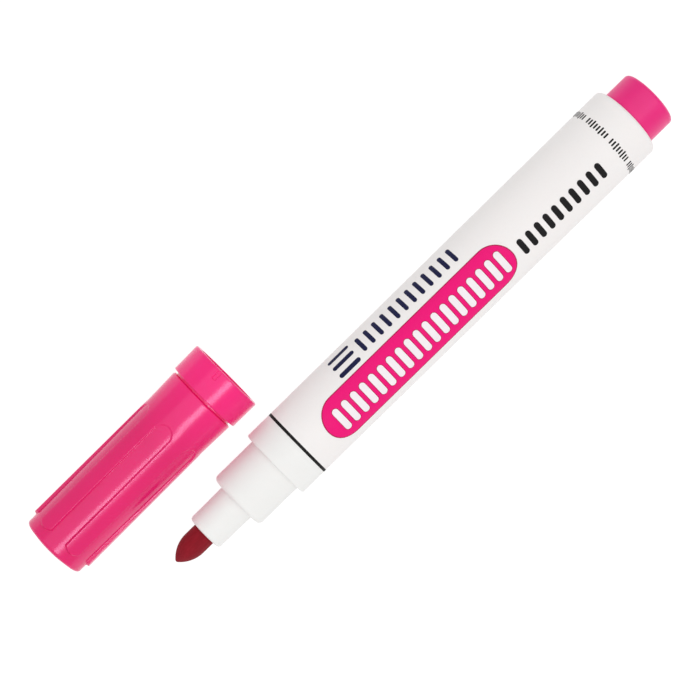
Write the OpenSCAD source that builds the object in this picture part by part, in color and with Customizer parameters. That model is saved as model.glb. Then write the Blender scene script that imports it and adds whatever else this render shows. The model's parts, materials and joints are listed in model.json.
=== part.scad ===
// Whiteboard marker with its cap pulled off and lying beside the nose.
// +X runs from the nib to the rear end, +Z is up, and the origin is on the marker's axis
// at the shoulder where the cap stops. All sizes are in millimetres.

/* [Nib] */
// Diameter of the writing nib
nib_d = 4.7; // [4.2:0.1:5]
// Length of nib that stands out of its sleeve
nib_out = 7.2; // [6:0.1:8]
// Radius of the curve that sharpens the nib
nib_curve = 5.95; // [5:0.05:7]
// Radius of the blunted tip
nib_tip_r = 0.45; // [0.3:0.05:0.7]
// Diameter of the tail that feeds on the reservoir
tail_d = 3.2; // [2.6:0.1:3.8]

/* [Front section] */
// Diameter of the nib sleeve at its front edge
sleeve_d = 7.4; // [6.8:0.1:7.5]
// Length of the nib sleeve
sleeve_len = 8.1; // [7:0.1:9]
// Diameter of the seat that the cap grips
seat_d = 11.7; // [11.4:0.1:12]
// Length of that seat
seat_len = 9.65; // [8.5:0.05:10]
// Length of the collar between the seat and the barrel
collar_len = 5.45; // [4:0.05:7]

/* [Barrel] */
// Diameter at the front, shared with the collar
barrel_front_d = 14.3; // [14:0.1:14.6]
// Diameter at the rear, where the mould's draft ends
barrel_rear_d = 14.7; // [14.6:0.1:15]
// Length of the barrel behind the collar
barrel_len = 84.05; // [75:0.05:90]
// Diameter of the bore
bore_d = 11.3; // [11:0.1:11.3]

/* [Rear plug] */
// Length of plug that stands out of the barrel
plug_out = 6; // [4:0.1:7]
// Length of plug pressed into the barrel
plug_in = 9; // [7:0.5:12]

/* [Cap] */
// Length of the cap shell
cap_len = 44.2; // [42:0.1:47]
// Diameter of the collar at the mouth
cap_collar_d = 15.05; // [14.6:0.05:15.4]
// Length of that collar
cap_collar_len = 5.75; // [4.5:0.05:6.5]
// Diameter just behind the groove
cap_body_d = 14.05; // [13.9:0.05:14.3]
// Diameter of the raised lands at the closed end
cap_land_d = 13.95; // [13.8:0.05:14.2]
// Diameter of the band at the closed end
cap_band_d = 12.85; // [12.6:0.05:13.2]
// Distance from the mouth to the flutes
flute_start = 13.7; // [13:0.1:16]
// Turn of the flutes about the cap's own axis
flute_turn = 3; // [-30:1:30]

/* [Resting place of the cap] */
// Cap mouth's place along the marker
cap_x = 5.1; // [0:0.1:20]
// Sideways distance between the two axes at the mouth
cap_y = 17.7; // [16.5:0.1:30]
// How far the closed end is turned towards the marker, in degrees
cap_yaw = 0.5; // [0:0.1:1]
// How far the closed end dips until its lands touch the table, in degrees
cap_dip = 0.85; // [0:0.05:0.9]

/* [Hidden] */
round_fn = 96;

// Depth that a rib is sunk into its wall, and overshoot of a cut
sink = 0.3;
overcut = 1;

// Stations along the marker
seat_x = -seat_len;
sleeve_x = seat_x - sleeve_len;
tip_x = sleeve_x - nib_out;
barrel_end_x = collar_len + barrel_len;
plug_end_x = barrel_end_x + plug_out;

// Radii of the marker
nib_r = nib_d / 2;
tail_r = tail_d / 2;
sleeve_front_r = sleeve_d / 2;
sleeve_draft = 0.08;
sleeve_rear_r = sleeve_front_r + sleeve_draft;
seat_r = seat_d / 2;
front_r = barrel_front_d / 2;
rear_r = barrel_rear_d / 2;
bore_r = bore_d / 2;

// Edge roundings
sleeve_edge = 0.6;
seat_edge = 0.9;
collar_edge = 0.35;
barrel_edge = 0.8;
plug_edge = 0.7;

// Inside of the front section
spigot_len = 8;
spigot_wall = 1.1;
web_x = 3;
chamber_r = bore_r - spigot_wall;
vent_r = 0.35;
vents = 3;
first_vent = 60;

// Reservoir, held off the barrel's wall by ribs
rib_h = 0.3;
rib_w = 0.8;
ribs = 4;
wrap_t = 0.15;
wrap_r = bore_r - rib_h;
core_r = wrap_r - wrap_t;
reservoir_gap = 0.2;
reservoir_x = collar_len + spigot_len + reservoir_gap;
reservoir_end_x = barrel_end_x - plug_in;
reservoir_len = reservoir_end_x - reservoir_x;

// Tail of the nib: it steps down behind the web and ends inside the reservoir
tail_step_gap = 2;
tail_step_len = 1;
tail_step_x = web_x + tail_step_gap;
socket_len = 8.5;
tail_end_x = reservoir_x + socket_len;

// Inside of the rear plug
plug_wall = 1.1;
plug_end_t = 1.2;
plug_rib_t = 0.9;

// Outside of the cap shell, measured from its mouth
cap_collar_r = cap_collar_d / 2;
cap_collar_draft = 0.07;
body_r = cap_body_d / 2;
groove_w = 0.5;
groove_depth = 0.6;
groove_r = body_r - groove_depth;
waist_depth = 0.18;
waist_r = body_r - waist_depth;
waist_z = flute_start - 0.7;
land_r = cap_land_d / 2;
land_draft = 0.07;
land_start_r = land_r - land_draft;
land_start_z = waist_z + 1.6;
band_r = cap_band_d / 2;
band_len = 2.2;
land_end = cap_len - band_len;
cap_edge = 0.3;
cap_end_edge = 0.6;

// Finger flutes, slightly wider than the lands between them
flutes = 6;
flute_share = 1.05;
flute_w = 2 * land_r * sin(90 * flute_share / flutes);
flute_floor_draft = 0.24;
flute_floor_r = band_r + flute_floor_draft;
land_round_d = 1.3 * flute_w;
peg_x = 5.4;
peg_len = 4;

// Inside of the cap shell
cap_play = 0.03;
cap_bore_r = seat_r + cap_play;
cap_bore_len = 10.6;
cap_lead_in = 0.4;
cap_inner_r = 5.2;
cap_end_t = 1.8;
end_hole_r = 4.3;

// Seal cup inside the cap, with a lip that closes on the nib sleeve
liner_mouth_z = 11;
liner_flange_t = 1.2;
cup_wall = 0.75;
seal_play = 0.07;
seal_r = sleeve_rear_r + seal_play;
lip_play = 0.01;
lip_r = sleeve_rear_r + lip_play;
lip_in = 0.5;
lip_len = 0.6;
cup_depth = 9;
cup_step_z = liner_mouth_z + cup_depth;
nib_play = 0.85;
nib_room_r = nib_r + nib_play;
nib_end_gap = 2.8;
cup_floor_z = seat_len + sleeve_len + nib_out + nib_end_gap;
cup_floor_t = 1.2;
cup_end_z = cup_floor_z + cup_floor_t;
stem_t = 0.9;
end_pad_h = 0.3;
end_pad_in = 0.6;

// Points of an arc of radius r about [x, y], from angle a0 to angle a1
function arc(x, y, r, a0, a1, steps = 8) =
    [for (i = [0:steps]) let (a = a0 + (a1 - a0) * i / steps) [x + r * cos(a), y + r * sin(a)]];

// A solid of revolution about Z from [radius, height] points
module turned(points) {
    rotate_extrude($fn = round_fn) polygon(points);
}

// Lays a solid built up along Z down along the marker's axis
module along_marker() {
    rotate([0, 90, 0]) children();
}

// Lays a solid built up along Z from its mouth where the cap rests
module along_cap() {
    table_gap = 0.01;
    cap_z = cap_collar_r - rear_r + table_gap;
    translate([cap_x, cap_y, cap_z]) rotate([0, -90 - cap_dip, cap_yaw]) children();
}

// Copies a child at equal steps about Z
module ring_of(count, first = 0) {
    for (i = [0:count - 1]) rotate([0, 0, first + i * 360 / count]) children();
}

// Bullet nib with a thinner tail behind it
module nib() {
    reach = nib_curve - nib_tip_r;
    inset = nib_curve - nib_r;
    tip_angle = acos(inset / reach);
    shoulder_x = tip_x + nib_tip_r + reach * sin(tip_angle);
    color([0.58, 0.1, 0.17]) along_marker() turned(concat(
        [[0, tail_end_x], [0, tip_x]],
        arc(0, tip_x + nib_tip_r, nib_tip_r, -80, -tip_angle, 4),
        arc(-inset, shoulder_x, nib_curve, -tip_angle, 0, 16),
        [[nib_r, tail_step_x], [tail_r, tail_step_x + tail_step_len], [tail_r, tail_end_x]]
    ));
}

// Nib sleeve, cap seat, collar and spigot in one moulding
module front_section() {
    color([0.94, 0.94, 0.93]) along_marker() difference() {
        turned(concat(
            [[nib_r, sleeve_x]],
            arc(sleeve_front_r - sleeve_edge, sleeve_x + sleeve_edge, sleeve_edge, -90, 0),
            [[sleeve_rear_r, seat_x]],
            arc(seat_r - seat_edge, seat_x + seat_edge, seat_edge, -90, 0),
            [[seat_r, 0]],
            arc(front_r - collar_edge, collar_edge, collar_edge, -90, 0),
            [[front_r, collar_len], [bore_r, collar_len], [bore_r, collar_len + spigot_len],
                [chamber_r, collar_len + spigot_len], [chamber_r, web_x], [nib_r, web_x]]
        ));
        ring_of(vents, first_vent) translate([nib_r, 0, sleeve_x - overcut])
            cylinder(r = vent_r, h = web_x - sleeve_x + 2 * overcut, $fn = 24);
    }
}

// Tapered tube with ribs that hold the reservoir off its wall
module barrel() {
    color([0.95, 0.94, 0.93]) along_marker() {
        turned(concat(
            [[bore_r, collar_len], [front_r, collar_len]],
            arc(rear_r - barrel_edge, barrel_end_x - barrel_edge, barrel_edge, 0, 90),
            [[bore_r, barrel_end_x]]
        ));
        ring_of(ribs, 45) translate([wrap_r, -rib_w / 2, reservoir_x])
            cube([rib_h + sink, rib_w, reservoir_len]);
    }
}

// Fibre rod that holds the ink, with a socket for the nib's tail
module reservoir_core() {
    color([0.86, 0.35, 0.5]) along_marker() translate([0, 0, reservoir_x]) difference() {
        cylinder(r = core_r, h = reservoir_len, $fn = round_fn);
        translate([0, 0, -overcut])
            cylinder(r = tail_r, h = socket_len + overcut, $fn = round_fn);
    }
}

// Thin film round the fibre rod
module reservoir_wrap() {
    color([0.92, 0.92, 0.95]) along_marker() translate([0, 0, reservoir_x]) difference() {
        cylinder(r = wrap_r, h = reservoir_len, $fn = round_fn);
        translate([0, 0, -overcut])
            cylinder(r = core_r, h = reservoir_len + 2 * overcut, $fn = round_fn);
    }
}

// Hollow plug that closes the barrel, with crossed ribs that stop the reservoir
module rear_plug() {
    plug_inner_r = bore_r - plug_wall;
    rib_len = plug_in + plug_out - plug_end_t + sink;
    color([0.91, 0.2, 0.47]) along_marker() {
        turned(concat(
            [[0, plug_end_x - plug_end_t], [plug_inner_r, plug_end_x - plug_end_t],
                [plug_inner_r, reservoir_end_x], [bore_r, reservoir_end_x],
                [bore_r, barrel_end_x], [seat_r, barrel_end_x]],
            arc(seat_r - plug_edge, plug_end_x - plug_edge, plug_edge, 0, 90),
            [[0, plug_end_x]]
        ));
        ring_of(2) translate([-plug_inner_r - sink, -plug_rib_t / 2, reservoir_end_x])
            cube([2 * (plug_inner_r + sink), plug_rib_t, rib_len]);
    }
}

// Radial peg through the cap's wall, of diameter d, at height z
module radial_peg(z, d) {
    translate([peg_x, 0, z]) rotate([0, 90, 0]) cylinder(d = d, h = peg_len, $fn = 48);
}

// Everything that is lower than the lands: flutes with round ends, open into the end band
module flute_cut() {
    fold_z = flute_start + flute_w / 2;
    land_round_z = land_end - land_round_d / 2;
    difference() {
        union() {
            ring_of(flutes, flute_turn) {
                radial_peg(fold_z, flute_w);
                translate([peg_x, -flute_w / 2, fold_z]) cube([peg_len, flute_w, cap_len]);
            }
            difference() {
                translate([0, 0, land_round_z])
                    cylinder(r = land_r + overcut, h = cap_len, $fn = round_fn);
                ring_of(flutes, flute_turn + 180 / flutes) radial_peg(land_round_z, land_round_d);
            }
        }
        turned([[0, 0], [flute_floor_r, flute_start - overcut], [band_r, cap_len - cap_end_edge],
            [band_r, 2 * cap_len], [0, 2 * cap_len]]);
    }
}

// Cap shell: collar, groove, body with finger flutes, and a closed end with a round hole
module cap_shell() {
    color([0.91, 0.2, 0.47]) along_cap() difference() {
        turned(concat(
            [[cap_bore_r + cap_lead_in, 0]],
            arc(cap_collar_r - cap_edge, cap_edge, cap_edge, -90, 0, 4),
            [[cap_collar_r - cap_collar_draft, cap_collar_len], [groove_r, cap_collar_len],
                [groove_r, cap_collar_len + groove_w], [body_r, cap_collar_len + groove_w],
                [waist_r, waist_z], [land_start_r, land_start_z],
                [land_r, land_end], [band_r, land_end]],
            arc(band_r - cap_end_edge, cap_len - cap_end_edge, cap_end_edge, 0, 90),
            [[end_hole_r, cap_len], [end_hole_r, cap_len - cap_end_t],
                [cap_inner_r, cap_len - cap_end_t], [cap_inner_r, cap_bore_len],
                [cap_bore_r, cap_bore_len], [cap_bore_r, cap_lead_in]]
        ));
        flute_cut();
    }
}

// Seal cup that closes round the nib sleeve, on a ribbed stem that plugs the shell's end hole
module cap_liner() {
    cup_r = seal_r + cup_wall;
    lip_z = liner_mouth_z + lip_in;
    end_wall_z = cap_len - cap_end_t;
    color([0.93, 0.42, 0.62]) along_cap() {
        turned([[lip_r, lip_z], [seal_r, liner_mouth_z], [cap_inner_r, liner_mouth_z],
            [cap_inner_r, liner_mouth_z + liner_flange_t], [cup_r, liner_mouth_z + liner_flange_t],
            [cup_r, cup_end_z], [0, cup_end_z], [0, cup_floor_z], [nib_room_r, cup_floor_z],
            [nib_room_r, cup_step_z], [seal_r, cup_step_z], [seal_r, lip_z + lip_len + lip_in],
            [lip_r, lip_z + lip_len]]);
        ring_of(2, 45) translate([-cup_r, -stem_t / 2, cup_end_z - sink])
            cube([2 * cup_r, stem_t, end_wall_z - cup_end_z + sink]);
        translate([0, 0, end_wall_z - end_pad_in])
            cylinder(r = end_hole_r, h = end_pad_in + cap_end_t + end_pad_h, $fn = round_fn);
    }
}

nib();
front_section();
barrel();
reservoir_core();
reservoir_wrap();
rear_plug();
cap_shell();
cap_liner();
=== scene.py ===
"""Looks of a whiteboard marker and its cap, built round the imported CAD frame.

The row frame is in metres: +X runs from the nib to the rear plug, +Z is up, and +Y is the side that
the cap lies on. Sizes below are in millimetres, and stations and radii that the frame knows come from it.
"""

import json
import math
from collections import namedtuple

import bmesh
import bpy
import numpy as np
from mathutils import Matrix, Vector


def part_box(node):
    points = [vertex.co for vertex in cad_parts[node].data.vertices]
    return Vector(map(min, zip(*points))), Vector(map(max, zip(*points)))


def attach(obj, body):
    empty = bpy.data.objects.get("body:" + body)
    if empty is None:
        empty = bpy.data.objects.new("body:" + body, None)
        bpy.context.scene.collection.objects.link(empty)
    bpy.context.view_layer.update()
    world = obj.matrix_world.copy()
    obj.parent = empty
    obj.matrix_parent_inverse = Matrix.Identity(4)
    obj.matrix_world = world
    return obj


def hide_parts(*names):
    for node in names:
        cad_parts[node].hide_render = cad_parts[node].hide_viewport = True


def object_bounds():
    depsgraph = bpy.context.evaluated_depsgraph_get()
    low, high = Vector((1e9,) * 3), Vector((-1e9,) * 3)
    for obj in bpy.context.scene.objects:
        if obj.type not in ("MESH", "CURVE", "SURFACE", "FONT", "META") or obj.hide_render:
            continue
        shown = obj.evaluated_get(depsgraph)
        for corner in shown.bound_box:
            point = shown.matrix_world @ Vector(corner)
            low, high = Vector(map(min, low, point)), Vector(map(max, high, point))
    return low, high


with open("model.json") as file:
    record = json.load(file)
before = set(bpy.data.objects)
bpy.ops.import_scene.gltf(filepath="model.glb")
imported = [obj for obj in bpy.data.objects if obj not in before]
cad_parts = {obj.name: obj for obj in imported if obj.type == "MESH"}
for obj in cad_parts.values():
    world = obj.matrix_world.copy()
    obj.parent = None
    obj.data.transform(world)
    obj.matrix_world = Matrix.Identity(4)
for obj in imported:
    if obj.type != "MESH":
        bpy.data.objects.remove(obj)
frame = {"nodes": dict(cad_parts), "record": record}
CAD_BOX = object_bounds()
MM = 0.001
MOUNTS = {m["name"]: m for m in frame["record"]["mounts"]}

# ---- what the frame knows, in millimetres ----

Axis = namedtuple("Axis", "origin along up side")  # a line to turn shapes about


def mm_box(node):
    """A node's lowest and highest corners, in millimetres."""
    low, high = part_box(node)
    return low / MM, high / MM


def unit(values):
    return np.array(Vector(values).normalized())


NIB_LOW, NIB_HIGH = mm_box("nib")
NOSE_LOW, NOSE_HIGH = mm_box("front_section")
BARREL_LOW, BARREL_HIGH = mm_box("barrel")
PLUG_LOW, PLUG_HIGH = mm_box("rear_plug")
SEAT = MOUNTS["cap_seat"]["dims"]
CAP_BORE = MOUNTS["cap_bore"]

TIP_X = NIB_LOW.x
SLEEVE_X = NOSE_LOW.x
SPIGOT_END_X = NOSE_HIGH.x
COLLAR_END_X = BARREL_LOW.x
BARREL_END_X = BARREL_HIGH.x
PLUG_START_X = PLUG_LOW.x
PLUG_END_X = PLUG_HIGH.x
FRONT_R = NOSE_HIGH.z
REAR_R = BARREL_HIGH.z
SEAT_R = SEAT["r_mm"]

# ---- sizes repeated from part.scad, in millimetres ----

SEAT_EDGE = 0.9  # rounding of the seat's front edge
SEAT_X = -(SEAT["length_mm"] + SEAT_EDGE)
SLEEVE_FRONT_R = 3.7
SLEEVE_REAR_R = 3.78
BORE_R = 5.65
TUBE_WALL = 1.1  # of the spigot and of the plug
PLUG_END_T = 1.2
WEB_X = 3.0  # rear face of the web that the nib goes through
VENT_R = 0.35
FIRST_VENT = math.radians(60)
NIB_R = 2.35
NIB_CURVE = 5.95  # radius of the curve that makes the point
NIB_TIP_R = 0.45
NIB_STEP_X = 5.0
NIB_STEP_LEN = 1.0
NIB_TAIL_R = 1.6

# stations on the cap run from its mouth to its closed end; a pair is a station and a radius
CAP_LEAD_IN = 0.4
CAP_BORE_END = CAP_LEAD_IN + CAP_BORE["dims"]["length_mm"]
CAP_LEN = 44.2
CAP_COLLAR_R = 7.525
CAP_COLLAR_REAR_R = 7.455
CAP_COLLAR_LEN = 5.75
CAP_BODY_R = 7.025
CAP_GROOVE_R = 6.425
CAP_GROOVE_W = 0.5
CAP_WAIST_R = 6.845
CAP_WAIST_Z = 13.0
CAP_LAND_START = (14.6, 6.905)
CAP_LAND_END = (42.0, 6.975)
CAP_BAND_R = 6.425
CAP_INNER_R = 5.2  # past the bore
CAP_END_T = 1.8
CAP_HOLE_R = 4.3  # in the closed end, filled by the liner's pad
FLUTES = 6
FLUTE_TURN = math.radians(3)
FLUTE_START = 13.7
FLUTE_HALF_TURN = math.radians(15.75)
FLUTE_HALF_W = CAP_LAND_END[1] * math.sin(FLUTE_HALF_TURN)
FLUTE_FLOOR = ((12.7, 6.665), (43.6, 6.425))
LAND_ROUND_R = 1.3 * FLUTE_HALF_W

MARKER = Axis(np.zeros(3), unit((1, 0, 0)), unit((0, 0, 1)), unit((0, 1, 0)))


def cap_axis():
    """The cap's own axis from its mouth to its closed end."""
    inward = -unit(CAP_BORE["axis"])
    side = unit(np.cross(inward, (0, 0, 1)))
    up = np.cross(side, inward)
    to_mouth = CAP_LEAD_IN + CAP_BORE["dims"]["length_mm"] / 2
    return Axis(np.array(CAP_BORE["pos_m"]) / MM - inward * to_mouth, inward, up, side)


CAP = cap_axis()


# ---- mesh helpers ----


def smooth_step(x):
    """0 below 0, 1 above 1, and a soft ramp between."""
    t = np.clip(x, 0, 1)
    return t * t * (3 - 2 * t)


def rounded(points, radii, steps=6, guard=0.15):
    """An outline of (station, radius) points with each corner rounded to its radius.

    A guard point each side of a rounding keeps its shading off the long stretches."""
    out = []
    for i, (p, r) in enumerate(zip(points, radii)):
        p = np.array(p, float)
        if not r:
            out.append(p)
            continue
        back = np.array(points[i - 1], float) - p
        ahead = np.array(points[(i + 1) % len(points)], float) - p
        room = [np.linalg.norm(back), np.linalg.norm(ahead)]
        back, ahead = back / room[0], ahead / room[1]
        half = math.acos(np.clip(back @ ahead, -1, 1)) / 2
        reach = r / math.tan(half)
        centre = p + (back + ahead) / np.linalg.norm(back + ahead) * r / math.sin(half)
        start, end = p + back * reach - centre, p + ahead * reach - centre
        turn = math.pi - 2 * half
        if room[0] > reach + 2 * guard:
            out.append(p + back * (reach + guard))
        for k in range(steps + 1):
            t = k / steps
            arm = (start * math.sin((1 - t) * turn) + end * math.sin(t * turn)) / math.sin(turn)
            out.append(centre + arm)
        if room[1] > reach + 2 * guard:
            out.append(p + ahead * (reach + guard))
    return out


def with_stations(outline, stations):
    """The outline with a point added wherever it passes one of these stations."""
    out = [outline[0]]
    for a, b in zip(outline, outline[1:]):
        if b[0] > a[0]:
            inside = [s for s in stations if a[0] < s < b[0]]
            out += [a + (b - a) * (s - a[0]) / (b[0] - a[0]) for s in inside]
        out.append(b)
    return out


def round_angles(count):
    return np.arange(count) * 2 * math.pi / count


def ring(axis, station, radius, angles):
    """Points round an axis. Angle 0 is up and grows towards +Y, and radius may vary with the angle."""
    if np.max(radius) < 1e-9:
        return (axis.origin + axis.along * station)[None, :]
    radius = np.broadcast_to(radius, angles.shape)
    across = np.outer(radius * np.cos(angles), axis.up) + np.outer(radius * np.sin(angles), axis.side)
    return axis.origin + axis.along * station + across


def skin(rows, closed):
    """Vertices and faces over rows of points, each row going once round. A row may be a single point."""
    rows = rows + [rows[0]] if closed else rows
    starts, total = [], 0
    for row in rows[: len(rows) - closed]:
        starts.append(total)
        total += len(row)
    starts += [0] * closed
    faces = []
    for (a, b), (row, after) in zip(zip(starts, starts[1:]), zip(rows, rows[1:])):
        n = max(len(row), len(after))
        for j in range(n):
            k = (j + 1) % n
            if len(row) == 1:
                faces.append((a, b + j, b + k))
            elif len(after) == 1:
                faces.append((a + j, b, a + k))
            else:
                faces.append((a + j, b + j, b + k, a + k))
    return np.concatenate(rows[: len(rows) - closed]), faces


def mesh_piece(name, vertices, faces, crease_deg=40):
    """A smooth-shaded object from millimetre points, with its faces turned outwards."""
    mesh = bpy.data.meshes.new(name)
    mesh.from_pydata((np.asarray(vertices) * MM).tolist(), [], faces)
    work = bmesh.new()
    work.from_mesh(mesh)
    bmesh.ops.recalc_face_normals(work, faces=work.faces)
    work.to_mesh(mesh)
    work.free()
    mesh.shade_smooth()
    mesh.set_sharp_from_angle(angle=math.radians(crease_deg))
    piece = bpy.data.objects.new(name, mesh)
    bpy.context.scene.collection.objects.link(piece)
    return piece


def turned(name, axis, outline, closed, count=192):
    """A body of revolution from (station, radius) points. A radius may be a function of the angle."""
    angles = round_angles(count)
    rows = [ring(axis, s, r(angles) if callable(r) else r, angles) for s, r in outline]
    return mesh_piece(name, *skin(rows, closed))


def finish_piece(piece, body, material, nodes=()):
    """Gives a piece its material and its body, and hides the CAD nodes that it stands for."""
    piece.data.materials.clear()
    piece.data.materials.append(material)
    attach(piece, body)
    if nodes:
        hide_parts(*nodes)
    return piece


# ---- node helpers ----


class Recipe:
    """Builds one procedural material round a Principled shader, in the object's own coordinates."""

    def __init__(self, name, **sockets):
        self.material = bpy.data.materials.new(name)
        self.material.use_nodes = True
        self.tree = self.material.node_tree
        self.shader = self.tree.nodes["Principled BSDF"]
        for label, value in sockets.items():
            self.shader.inputs[label.replace("_", " ")].default_value = value
        self.place = self.add("ShaderNodeTexCoord").outputs["Object"]

    def add(self, kind, **settings):
        node = self.tree.nodes.new(kind)
        for key, value in settings.items():
            setattr(node, key, value)
        return node

    def wire(self, source, target):
        self.tree.links.new(source, target)

    def noise(self, size_mm, detail=3, stretch=(1, 1, 1), turn=(0, 0, 0)):
        """Noise whose grains are size_mm across, and longer by stretch along each axis."""
        mapping = self.add("ShaderNodeMapping")
        mapping.inputs["Rotation"].default_value = turn
        mapping.inputs["Scale"].default_value = [1 / s for s in stretch]
        self.wire(self.place, mapping.inputs["Vector"])
        noise = self.add("ShaderNodeTexNoise")
        noise.inputs["Scale"].default_value = 1 / (size_mm * MM)
        noise.inputs["Detail"].default_value = detail
        self.wire(mapping.outputs["Vector"], noise.inputs["Vector"])
        return noise.outputs["Fac"]

    def span(self, value, low, high, source=(0.3, 0.7)):
        """Carries a noise value to the range low..high."""
        node = self.add("ShaderNodeMapRange")
        for label, number in zip(("From Min", "From Max", "To Min", "To Max"), (*source, low, high)):
            node.inputs[label].default_value = number
        self.wire(value, node.inputs["Value"])
        return node.outputs["Result"]

    def along_x(self, start, end):
        """0 at one station of the marker and 1 at another, in millimetres."""
        split = self.add("ShaderNodeSeparateXYZ")
        self.wire(self.place, split.inputs["Vector"])
        return self.span(split.outputs["X"], 0, 1, (start * MM, end * MM))

    def blend(self, factor, a, b):
        """A colour between a and b, where each is a colour or another blend."""
        node = self.add("ShaderNodeMix", data_type="RGBA")
        self.wire(factor, node.inputs["Factor"])
        colour_a, colour_b, result = node.inputs[6], node.inputs[7], node.outputs[2]
        for socket, colour in ((colour_a, a), (colour_b, b)):
            if isinstance(colour, tuple):
                socket.default_value = (*colour, 1)
            else:
                self.wire(colour, socket)
        return result

    def colour(self, source):
        self.wire(source, self.shader.inputs["Base Color"])

    def roughness(self, source):
        self.wire(source, self.shader.inputs["Roughness"])

    def relief(self, *layers):
        """Bump from (height value, depth in mm) layers, one over the other."""
        normal = None
        for height, depth in layers:
            bump = self.add("ShaderNodeBump")
            bump.inputs["Strength"].default_value = 1
            bump.inputs["Distance"].default_value = depth * MM
            self.wire(height, bump.inputs["Height"])
            if normal:
                self.wire(normal, bump.inputs["Normal"])
            normal = bump.outputs["Normal"]
        self.wire(normal, self.shader.inputs["Normal"])


def shade(colour, factor):
    """The colour made darker or lighter by a factor."""
    return tuple(c * factor for c in colour)


# ---- materials ----


def moulded_white(name, colour, gloss):
    """Satin white plastic: faint clouding and flow lines, and a fine moulded grain."""
    m = Recipe(name, Subsurface_Weight=0.12, Subsurface_Scale=0.0012,
               Subsurface_Radius=(1.0, 0.9, 0.85), Specular_IOR_Level=0.3)
    clouds = m.span(m.noise(9, 4, (3, 1, 1)), 0, 1)
    specks = m.span(m.noise(0.35, 2), 0, 1)
    base = m.blend(clouds, shade(colour, 0.985), colour)
    m.colour(m.blend(m.span(specks, 0, 0.3, (0.55, 1)), base, shade(colour, 0.96)))
    m.roughness(m.span(m.noise(1.4, 4, (4, 1, 1)), gloss - 0.05, gloss + 0.07))
    m.relief((m.noise(0.22, 3), 0.0022), (m.noise(5, 2, (6, 1, 1)), 0.012))
    return m.material


def moulded_pink(name, bright, deep, gloss, shade_fade=None):
    """Glossy dyed plastic that light enters a little, with faint flow marks along the axis.

    A shade fade is a pair of stations between which the colour goes from bright to deep. This is painted
    light and shade: the same plastic is coloured as if lit before the first station and shaded past the
    second."""
    m = Recipe(name, Subsurface_Weight=0.1, Subsurface_Scale=0.0012,
               Subsurface_Radius=(1.0, 0.25, 0.45), IOR=1.5,
               Specular_IOR_Level=0.62, Specular_Tint=(0.85, 0.72, 1, 1))
    clouds = m.span(m.noise(11, 3), 0, 1)
    near = m.blend(clouds, bright, shade(bright, 0.96))
    far = m.blend(clouds, deep, shade(deep, 0.95))
    # with a shade fade, the colour darkens along X from painted light to painted shade
    base = m.blend(m.along_x(*shade_fade), near, far) if shade_fade else m.blend(clouds, near, far)
    streaks = m.span(m.noise(2.6, 3, (5, 1, 1)), 0, 0.12)
    m.colour(m.blend(streaks, base, shade(deep, 0.85)))
    m.roughness(m.span(m.noise(1.5, 4, (3, 1, 1)), gloss - 0.02, gloss + 0.03))
    m.relief((m.noise(0.3, 3), 0.0006), (m.noise(5, 2, (4, 1, 1)), 0.0025))
    return m.material


def fibre(name, colour, pale, strand_mm, depth):
    """Bundled fibres that run along X, soaked with ink, with a paler fuzz."""
    m = Recipe(name, Sheen_Weight=0.04, Sheen_Roughness=0.6, Specular_IOR_Level=0.15)
    strands = m.noise(strand_mm, 4, (14, 1, 1))
    clumps = m.span(m.noise(1.3, 3, (3, 1, 1)), 0, 1)
    soaked = m.blend(clumps, shade(colour, 0.82), colour)
    m.colour(m.blend(m.span(strands, 0, 0.55, (0.45, 0.75)), soaked, pale))
    m.roughness(m.span(strands, 0.72, 0.95))
    m.relief((strands, depth), (m.noise(strand_mm * 0.6, 2), depth * 0.6))
    return m.material


def print_ink(name, colour, gloss=0.56, specular=0.12):
    """A screen-printed layer: slightly uneven ink with fine pinholes in its tone."""
    m = Recipe(name, Specular_IOR_Level=specular)
    uneven = m.span(m.noise(1.6, 4), 0, 1)
    grain = m.span(m.noise(0.12, 2), 0, 1)
    lighter = tuple(c + (1 - c) * 0.012 for c in colour)
    m.colour(m.blend(m.span(grain, 0, 0.5), m.blend(uneven, shade(colour, 0.93), colour), lighter))
    m.roughness(m.span(uneven, gloss - 0.05, gloss + 0.08))
    m.relief((m.noise(0.15, 2), 0.0012))
    return m.material


def clear_film(name):
    """Thin milky film with lengthwise creases."""
    m = Recipe(name, Transmission_Weight=0.55, IOR=1.45, Specular_IOR_Level=0.5)
    creases = m.span(m.noise(1.2, 3, (10, 1, 1)), 0, 1)
    m.colour(m.blend(creases, (0.80, 0.80, 0.84), (0.92, 0.92, 0.95)))
    m.roughness(m.span(creases, 0.15, 0.4))
    m.relief((m.noise(0.9, 3, (10, 1, 1)), 0.02))
    return m.material


def table_top(name):
    """Plain white table, evenly lit, that clears to paper white."""
    m = Recipe(name, Emission_Color=(1, 1, 1, 1), Emission_Strength=0.92, Specular_IOR_Level=0.1)
    haze = m.span(m.noise(60, 3), 0, 1)
    m.colour(m.blend(haze, (0.15, 0.15, 0.15), (0.16, 0.16, 0.16)))
    m.roughness(m.span(m.noise(8, 3), 0.6, 0.75))
    return m.material


# ---- the marker ----

SLEEVE_FACE_W = 0.5  # flat ring round the nib, before the sleeve's face is shaded round
SEAM_R = 0.06  # rounding of the edges on each side of the seam


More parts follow.
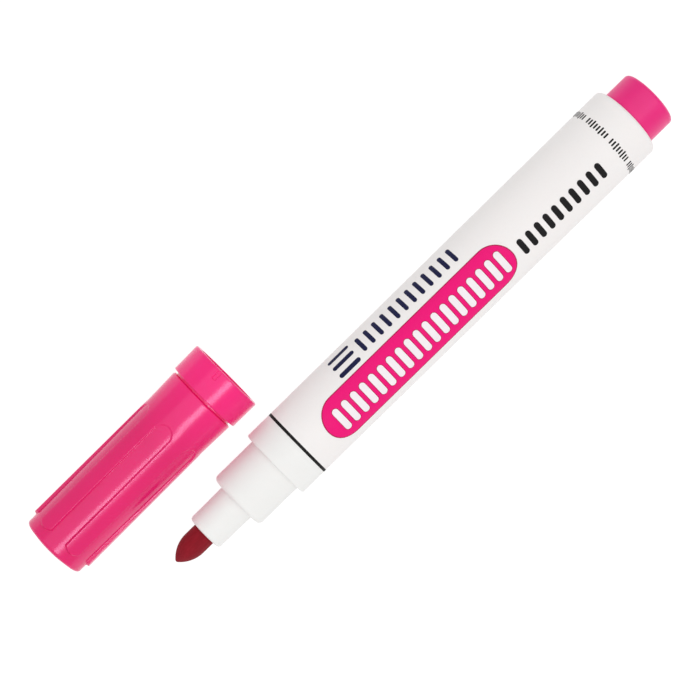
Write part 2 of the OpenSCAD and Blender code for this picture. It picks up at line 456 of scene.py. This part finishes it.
def nib_outline():
    """From the blunted tip over the pointed curve to the tail inside."""
    reach, inset = NIB_CURVE - NIB_TIP_R, NIB_CURVE - NIB_R
    tip_angle = math.acos(inset / reach)
    shoulder_x = TIP_X + NIB_TIP_R + reach * math.sin(tip_angle)
    out = [(TIP_X, 0)]
    for a in np.linspace(math.radians(80), tip_angle, 6):
        out.append((TIP_X + NIB_TIP_R - NIB_TIP_R * math.sin(a), NIB_TIP_R * math.cos(a)))
    for a in np.linspace(tip_angle, 0, 32)[1:]:
        out.append((shoulder_x - NIB_CURVE * math.sin(a), NIB_CURVE * math.cos(a) - inset))
    out += [(shoulder_x + 0.2, NIB_R), (NIB_STEP_X, NIB_R), (NIB_STEP_X + NIB_STEP_LEN, NIB_TAIL_R)]
    return out + [(NIB_HIGH.x, NIB_TAIL_R), (NIB_HIGH.x, 0)]


def vented_hole(angles):
    """Radius of the nib's hole, with a round vent notch at each third of a turn."""
    third = 2 * math.pi / 3
    off = (angles - FIRST_VENT + third / 2) % third - third / 2
    notch = NIB_R * np.cos(off) + np.sqrt(np.maximum(VENT_R**2 - (NIB_R * np.sin(off)) ** 2, 0))
    return np.where(np.abs(NIB_R * np.sin(off)) < VENT_R, np.maximum(notch, NIB_R), NIB_R)


def nose_outline():
    """Sleeve, seat and collar on the outside, and back through the spigot and the nib's hole."""
    points = [
        (SLEEVE_X, NIB_R + SLEEVE_FACE_W),
        (SLEEVE_X, SLEEVE_FRONT_R),
        (SEAT_X, SLEEVE_REAR_R),
        (SEAT_X, SEAT_R),
        (0, SEAT_R),
        (0, FRONT_R),
        (COLLAR_END_X, FRONT_R),
        (COLLAR_END_X, BORE_R),
        (SPIGOT_END_X, BORE_R),
        (SPIGOT_END_X, BORE_R - TUBE_WALL),
        (WEB_X, BORE_R - TUBE_WALL),
    ]
    radii = [0, 0.6, 0.22, SEAT_EDGE, 0.15, 0.35, SEAM_R, SEAM_R, 0.25, 0.15, 0]
    ease = 0.06
    rim = [(SLEEVE_X + ease, vented_hole), (SLEEVE_X, lambda angles: vented_hole(angles) + ease)]
    return rim + rounded(points, radii) + [(WEB_X, vented_hole)]


def barrel_outline():
    """The tapered tube, with its large rounding at the rear."""
    points = [
        (COLLAR_END_X, BORE_R),
        (COLLAR_END_X, FRONT_R),
        (BARREL_END_X, REAR_R),
        (BARREL_END_X, BORE_R),
    ]
    return rounded(points, [SEAM_R, SEAM_R, 0.8, 0.12], steps=8)


def plug_outline():
    """The plug's inner wall, its shoulder inside the barrel, and the post and end face outside."""
    inner_end_x = PLUG_END_X - PLUG_END_T
    points = [
        (inner_end_x, 0),
        (inner_end_x, BORE_R - TUBE_WALL),
        (PLUG_START_X, BORE_R - TUBE_WALL),
        (PLUG_START_X, BORE_R),
        (BARREL_END_X, BORE_R),
        (BARREL_END_X, SEAT_R),
        (PLUG_END_X, SEAT_R),
        (PLUG_END_X, 0),
    ]
    return rounded(points, [0, 0.3, 0.1, 0.3, 0.04, 0.1, 0.7, 0], steps=8)


def build_marker():
    felt = fibre("nib_felt", (0.25, 0.005, 0.014), (0.33, 0.02, 0.035), 0.16, 0.035)
    nose_white = moulded_white("nose_satin", (0.85, 0.845, 0.83), 0.55)
    barrel_white = moulded_white("barrel_satin", (0.875, 0.845, 0.835), 0.58)
    plug_pink = moulded_pink("plug_gloss", (0.88, 0.014, 0.21), (0.84, 0.012, 0.195), 0.36)
    parts = (
        ("nib_point", nib_outline(), False, felt, "nib", "nib_fibre"),
        ("nose", nose_outline(), True, nose_white, "front_section", "white_nose"),
        ("barrel_tube", barrel_outline(), True, barrel_white, "barrel", "white_barrel"),
        ("end_plug", plug_outline(), False, plug_pink, "rear_plug", "pink_plug"),
    )
    for name, outline, closed, material, node, slot in parts:
        finish_piece(turned(name, MARKER, outline, closed), "marker", material, [node])


# ---- prints on the barrel ----

Mark = namedtuple("Mark", "x turn along across lies_along_x")  # an obround of ink, in mm and degrees
BarRow = namedtuple("BarRow", "first_x last_x count turn height width")  # upright bars, evenly spaced

PANEL = Mark(33.95, -20.3, 45.7, 8.55, True)
PANEL_EDGE_W = 0.2
PANEL_BARS = BarRow(14.35, 54.5, 19, -21.3, 4.9, 1.3)
BAR_EDGE_W = 0.125
NAVY_BARS = BarRow(26.1, 48.9, 12, 41.5, 3.8, 0.85)
NAVY_DASHES = [Mark(21.8, turn, 5.0, 0.9, True) for turn in (25, 41.5, 58)]
BLACK_BARS = BarRow(59.1, 78.6, 10, -26, 3.5, 1.15)
TICK_X = 83.5
TICK_STEP = 5.2  # degrees
TICK_LEN, LONG_TICK_LEN = 1.2, 1.6
TICK_W = 0.34
SEAM_BEFORE, SEAM_AFTER = 0.02, 0.54  # reach of the seam's ring before and past the seam
INK_SINK = 0.02  # how far a print's underside lies inside the barrel's wall


def barrel_r(x):
    """Outer radius of the barrel at a station."""
    share = (x - COLLAR_END_X) / (BARREL_END_X - COLLAR_END_X)
    return FRONT_R + (REAR_R - FRONT_R) * share


def obround_grid(mark):
    """Rows of (x, arc) points that fill an obround, centred on its place."""
    half_w = mark.across / 2
    per_mm = 4
    turns = np.linspace(0, math.pi, max(10, int(mark.across * per_mm)))
    rows = []
    for t in -half_w * np.cos(turns):
        reach = mark.along / 2 - half_w + math.sqrt(max(half_w**2 - t * t, 0))
        along = np.linspace(-reach, reach, max(8, int(mark.along * per_mm)))
        across = np.full_like(along, t)
        pair = (along, across) if mark.lies_along_x else (across, along)
        rows.append(np.stack(pair, axis=1))
    return np.array(rows)


def on_barrel(x, arc, turn, lift):
    """The point at station x, an arc length from an angle, and a lift off the barrel's wall."""
    radius = barrel_r(x)
    angle = turn + arc / radius
    return np.stack((x, (radius + lift) * np.sin(angle), (radius + lift) * np.cos(angle)), axis=-1)


def ink_shell(mark, lift):
    """Vertices and faces of one closed thin layer of ink that follows the barrel."""
    grid = obround_grid(mark)
    n, m = grid.shape[:2]
    x, arc = grid[..., 0] + mark.x, grid[..., 1]
    turn = math.radians(mark.turn)
    layers = [on_barrel(x, arc, turn, h).reshape(-1, 3) for h in (lift, -INK_SINK)]
    cells = [(i * m + j, (i + 1) * m + j, (i + 1) * m + j + 1, i * m + j + 1)
             for i in range(n - 1) for j in range(m - 1)]
    border = [*range(m)] + [i * m + m - 1 for i in range(1, n)]
    border += [(n - 1) * m + j for j in range(m - 2, -1, -1)] + [i * m for i in range(n - 2, 0, -1)]
    below = n * m
    faces = cells + [tuple(below + v for v in reversed(c)) for c in cells]
    faces += [(a, b, below + b, below + a) for a, b in zip(border, border[1:] + border[:1])]
    return np.concatenate(layers), faces


def ink_piece(name, marks, lift, material):
    """One piece from many closed marks of the same ink."""
    vertices, faces, start = [], [], 0
    for mark in marks:
        points, cells = ink_shell(mark, lift)
        vertices.append(points)
        faces += [tuple(start + v for v in c) for c in cells]
        start += len(points)
    finish_piece(mesh_piece(name, np.concatenate(vertices), faces), "marker", material)


def bars(row, edge_w=0):
    """The bars of a row, each wider and higher by an edge on every side."""
    places = np.linspace(row.first_x, row.last_x, row.count)
    return [Mark(x, row.turn, row.height + 2 * edge_w, row.width + 2 * edge_w, False) for x in places]


def rear_ticks():
    """A fine row of ticks round the rear of the barrel, long and short in a plain rhythm."""
    marks = []
    for i in range(-26, 27):
        if i % 9:
            length = TICK_LEN if i % 3 else LONG_TICK_LEN
            marks.append(Mark(TICK_X, i * TICK_STEP, length, TICK_W, True))
    return marks


def seam_ring(name, ink, lift, depth=0.15):
    """A printed band round the barrel's front edge."""
    start, end = COLLAR_END_X - SEAM_BEFORE, COLLAR_END_X + SEAM_AFTER
    low, high = FRONT_R - depth, FRONT_R + lift
    outline = [(start, low), (start, high), (end, high), (end, low)]
    finish_piece(turned(name, MARKER, outline, True), "marker", ink)


def build_prints():
    pink = print_ink("ink_pink", (0.86, 0.004, 0.185))
    edge = print_ink("ink_pink_edge", (0.42, 0.006, 0.07))
    white = print_ink("ink_white", (0.90, 0.84, 0.87), specular=0.3)
    navy = print_ink("ink_navy", (0.009, 0.010, 0.055))
    black = print_ink("ink_black", (0.009, 0.008, 0.009))
    around = 2 * PANEL_EDGE_W
    panel_edge = PANEL._replace(along=PANEL.along + around, across=PANEL.across + around)
    prints = (  # name, marks, how far they stand off the barrel in mm, ink
        ("print_panel_edge", [panel_edge], 0.008, edge),
        ("print_panel", [PANEL], 0.015, pink),
        ("print_panel_bar_edges", bars(PANEL_BARS, BAR_EDGE_W), 0.018, edge),
        ("print_panel_bars", bars(PANEL_BARS), 0.024, white),
        ("print_navy_bars", NAVY_DASHES + bars(NAVY_BARS), 0.015, navy),
        ("print_black_bars", bars(BLACK_BARS), 0.015, black),
        ("print_rear_ticks", rear_ticks(), 0.012, black),
    )
    for name, marks, lift, ink in prints:
        ink_piece(name, marks, lift, ink)
    seam_ring("print_seam_ring", black, 0.012)


# ---- the cap ----

NOTCH_SPAN = (math.radians(3.5), math.radians(9.5))  # from the top of the collar towards +Y
NOTCH_LEN = 2.1
NOTCH_DEPTH = 0.16
NOTCH_SOFT = 0.08
FINE_ROWS = 0.09  # spacing of the rows at the round ends of the flutes and the lands
PLAIN_ROWS = 1.4  # and along the straight stretch between them


def eased_span(centre, half, count):
    """Angles across a span, closer together near its two edges."""
    t = np.linspace(-1, 1, count + 1)[:-1]
    crowded = 1.5 * t - 0.5 * t**3
    return centre + half * (0.7 * crowded + 0.3 * t)


def cap_angles(per_side=32):
    """Angles round the cap, closer together near the edges of the flutes and of the rim's notch."""
    pitch = 2 * math.pi / FLUTES
    land_half_turn = pitch / 2 - FLUTE_HALF_TURN
    spans = []
    for i in range(FLUTES):
        spans.append(eased_span(FLUTE_TURN + i * pitch, FLUTE_HALF_TURN, per_side))
        spans.append(eased_span(FLUTE_TURN + (i + 0.5) * pitch, land_half_turn, per_side))
    edges = [edge + NOTCH_SOFT / CAP_COLLAR_R * t for edge in NOTCH_SPAN for t in (0, 0.35, 0.65, 1)]
    return np.sort(np.concatenate([*spans, edges]))


def land_share(z, angles, soft=0.12):
    """1 on the raised lands and 0 in the flutes and past the lands' round ends."""
    pitch = 2 * math.pi / FLUTES
    off = np.abs((angles - FLUTE_TURN + pitch / 2) % pitch - pitch / 2)
    from_flute = np.sin(off) * CAP_LAND_END[1]
    from_land = np.sin(pitch / 2 - off) * CAP_LAND_END[1]
    fold_z = FLUTE_START + FLUTE_HALF_W
    inside = np.hypot(from_flute, min(z - fold_z, 0)) - FLUTE_HALF_W
    round_z = CAP_LAND_END[0] - LAND_ROUND_R
    if z > round_z:
        inside = np.minimum(inside, LAND_ROUND_R - np.hypot(from_land, z - round_z))
    return smooth_step(0.5 + inside / (2 * soft))


def line_at(z, points):
    """Radius at a station on the straight line through two (station, radius) points."""
    (z0, r0), (z1, r1) = points
    return r0 + (r1 - r0) * (z - z0) / (z1 - z0)


def rim_notch(z, angles):
    """Depth of a small shallow step in the collar, open to the rim."""
    first, last = NOTCH_SPAN
    soft_turn = NOTCH_SOFT / CAP_COLLAR_R
    rise = smooth_step((angles - first) / soft_turn)
    fall = smooth_step((last + soft_turn - angles) / soft_turn)
    return NOTCH_DEPTH * rise * fall * smooth_step((NOTCH_LEN - z) / NOTCH_SOFT)


def cap_front():
    """Outline from the mouth over the collar and the groove to where the flutes begin."""
    points = [
        (0, CAP_BORE["dims"]["r_mm"] + CAP_LEAD_IN),
        (0, CAP_COLLAR_R),
        (CAP_COLLAR_LEN, CAP_COLLAR_REAR_R),
        (CAP_COLLAR_LEN, CAP_GROOVE_R),
        (CAP_COLLAR_LEN + CAP_GROOVE_W, CAP_GROOVE_R),
        (CAP_COLLAR_LEN + CAP_GROOVE_W, CAP_BODY_R),
        (CAP_WAIST_Z, CAP_WAIST_R),
    ]
    outline = rounded(points, [0.1, 0.3, 0.12, 0.1, 0.1, 0.35, 0])
    beside_notch = np.arange(0.5, NOTCH_LEN - 0.2, 0.3)
    notch_end = np.arange(NOTCH_LEN - 0.14, NOTCH_LEN + 0.2, 0.03)
    waist = np.arange(CAP_COLLAR_LEN + 1.25, CAP_WAIST_Z, 1.5)
    return with_stations(outline, [*beside_notch, *notch_end, *waist])


def cap_rear():
    """Outline from the band over the closed end, and back through the hole to the mouth's bore."""
    bore_r = CAP_BORE["dims"]["r_mm"]
    points = [
        (CAP_LAND_END[0] + 0.7, CAP_BAND_R),
        (CAP_LEN, CAP_BAND_R),
        (CAP_LEN, CAP_HOLE_R),
        (CAP_LEN - CAP_END_T, CAP_HOLE_R),
        (CAP_LEN - CAP_END_T, CAP_INNER_R),
        (CAP_BORE_END, CAP_INNER_R),
        (CAP_BORE_END, bore_r),
        (CAP_LEAD_IN, bore_r),
    ]
    return rounded(points, [0, 0.6, 0.08, 0, 0.3, 0.1, 0.15, 0])


def fluted_rows(angles):
    """Rows over the flutes, close together at the round ends of the flutes and the lands."""
    near_start = np.arange(CAP_WAIST_Z + 0.2, FLUTE_START + FLUTE_HALF_W + 0.4, FINE_ROWS)
    round_z = CAP_LAND_END[0] - LAND_ROUND_R
    middle = np.arange(near_start[-1] + 1, round_z, PLAIN_ROWS)
    near_end = np.arange(round_z + 0.3, CAP_LAND_END[0] + 0.6, FINE_ROWS)
    waist = ((CAP_WAIST_Z, CAP_WAIST_R), CAP_LAND_START)
    rows = []
    for z in (*near_start, *middle, *near_end):
        land = line_at(z, waist if z < CAP_LAND_START[0] else (CAP_LAND_START, CAP_LAND_END))
        floor = line_at(z, FLUTE_FLOOR)
        share = land_share(z, angles)
        rows.append(ring(CAP, z, floor + (land - floor) * share, angles))
    return rows


def build_cap():
    """The cap's shell in one skin, and a material for the liner that carries over from the CAD."""
    angles = cap_angles()
    rows = [ring(CAP, z, r - rim_notch(z, angles), angles) for z, r in cap_front()]
    rows += fluted_rows(angles)
    rows += [ring(CAP, z, r, angles) for z, r in cap_rear()]
    # the cap's pink is painted lighter near its mouth and darker towards its closed end: painted light and
    # shade
    pink = moulded_pink("cap_gloss", (0.97, 0.012, 0.20), (0.79, 0.010, 0.142), 0.19, (2, -13))
    soft_pink = moulded_pink("liner_soft", (0.80, 0.10, 0.27), (0.72, 0.07, 0.22), 0.45)
    cap = mesh_piece("cap_fluted", *skin(rows, True), crease_deg=50)
    finish_piece(cap, "cap", pink, ["cap_shell"])
    dress("cap_liner", soft_pink)


def dress(node, material):
    """Gives a carried-over CAD node its finished material."""
    kept = frame["nodes"][node]
    for place in kept.material_slots:
        place.material = material
    if not kept.material_slots:
        kept.data.materials.append(material)


def build_reservoir():
    dress("reservoir_core", fibre("core_fibre", (0.60, 0.05, 0.15), (0.75, 0.25, 0.35), 0.12, 0.03))
    dress("reservoir_wrap", clear_film("wrap_clear"))


# ---- table, light and camera ----

CAMERA_AIM = (24.2, 5.3, 0)  # where the view's centre meets the marker's level, in mm
CAMERA_HEIGHT = 400
CAMERA_LEAN = math.radians(1.91)
CAMERA_ROLL = math.radians(44.38)
CAMERA_LENS = 113.55
TABLE_HALF = 2.5  # m
LIGHT_CENTRE_Y = 0.009  # m, between the marker and its cap
SKY = 0.63


def build_table():
    low = CAD_BOX[0].z
    mesh = bpy.data.meshes.new("table")
    signs = ((-1, -1), (1, -1), (1, 1), (-1, 1))
    corners = [(x * TABLE_HALF, y * TABLE_HALF, low) for x, y in signs]
    mesh.from_pydata(corners, [], [(0, 1, 2, 3)])
    mesh.materials.append(table_top("table_white"))
    table = bpy.data.objects.new("table", mesh)
    bpy.context.scene.collection.objects.link(table)


def softbox(name, station, lean_deg, turn_deg, distance, size, radiance):
    """A rectangular light over one station that faces the object, with its distance and size in metres.

    It leans from straight above towards -Y, and is turned about its own axis."""
    data = bpy.data.lights.new(name, "AREA")
    data.shape = "RECTANGLE"
    data.size, data.size_y = size
    data.energy = radiance * math.pi * size[0] * size[1]
    light = bpy.data.objects.new(name, data)
    lean = math.radians(lean_deg)
    centre = Vector((station, LIGHT_CENTRE_Y, 0))
    light.location = centre + Vector((0, -math.sin(lean), math.cos(lean))) * distance
    turn = Matrix.Rotation(-lean, 4, "X") @ Matrix.Rotation(math.radians(turn_deg), 4, "Z")
    light.rotation_euler = turn.to_euler()
    light.visible_camera = False
    bpy.context.scene.collection.objects.link(light)


def build_lights():
    world = bpy.data.worlds.new("studio")
    world.use_nodes = True
    background = world.node_tree.nodes["Background"]
    background.inputs["Color"].default_value = (1, 1, 1, 1)
    background.inputs["Strength"].default_value = SKY
    bpy.context.scene.world = world
    softbox("overhead", station=0.028, lean_deg=2, turn_deg=0, distance=0.9, size=(1.4, 1.4), radiance=0.52)
    softbox("key_strip", station=-0.068, lean_deg=23.5, turn_deg=-45, distance=0.75, size=(0.44, 0.22),
            radiance=5.4)


def build_camera():
    """Looks down from above with a slight lean, rolled so that the nib points down to the left."""
    data = bpy.data.cameras.new("camera")
    data.sensor_width = 36
    data.lens = CAMERA_LENS
    data.clip_start, data.clip_end = 0.01, 20
    camera = bpy.data.objects.new("camera", data)
    lean, roll = CAMERA_LEAN, CAMERA_ROLL
    back = Vector((-math.sin(lean), 0, math.cos(lean)))
    east = Vector((math.cos(lean), 0, math.sin(lean)))
    north = Vector((0, 1, 0))
    right = east * math.cos(roll) - north * math.sin(roll)
    up = east * math.sin(roll) + north * math.cos(roll)
    turn = Matrix((right, up, back)).transposed().to_4x4()
    place = Vector(CAMERA_AIM) * MM + back * (CAMERA_HEIGHT * MM / back.z)
    camera.matrix_world = Matrix.Translation(place) @ turn
    bpy.context.scene.collection.objects.link(camera)
    bpy.context.scene.camera = camera


build_camera()
build_marker()
build_prints()
build_cap()
build_reservoir()
build_table()
build_lights()
bpy.context.scene.view_settings.view_transform = "Standard"
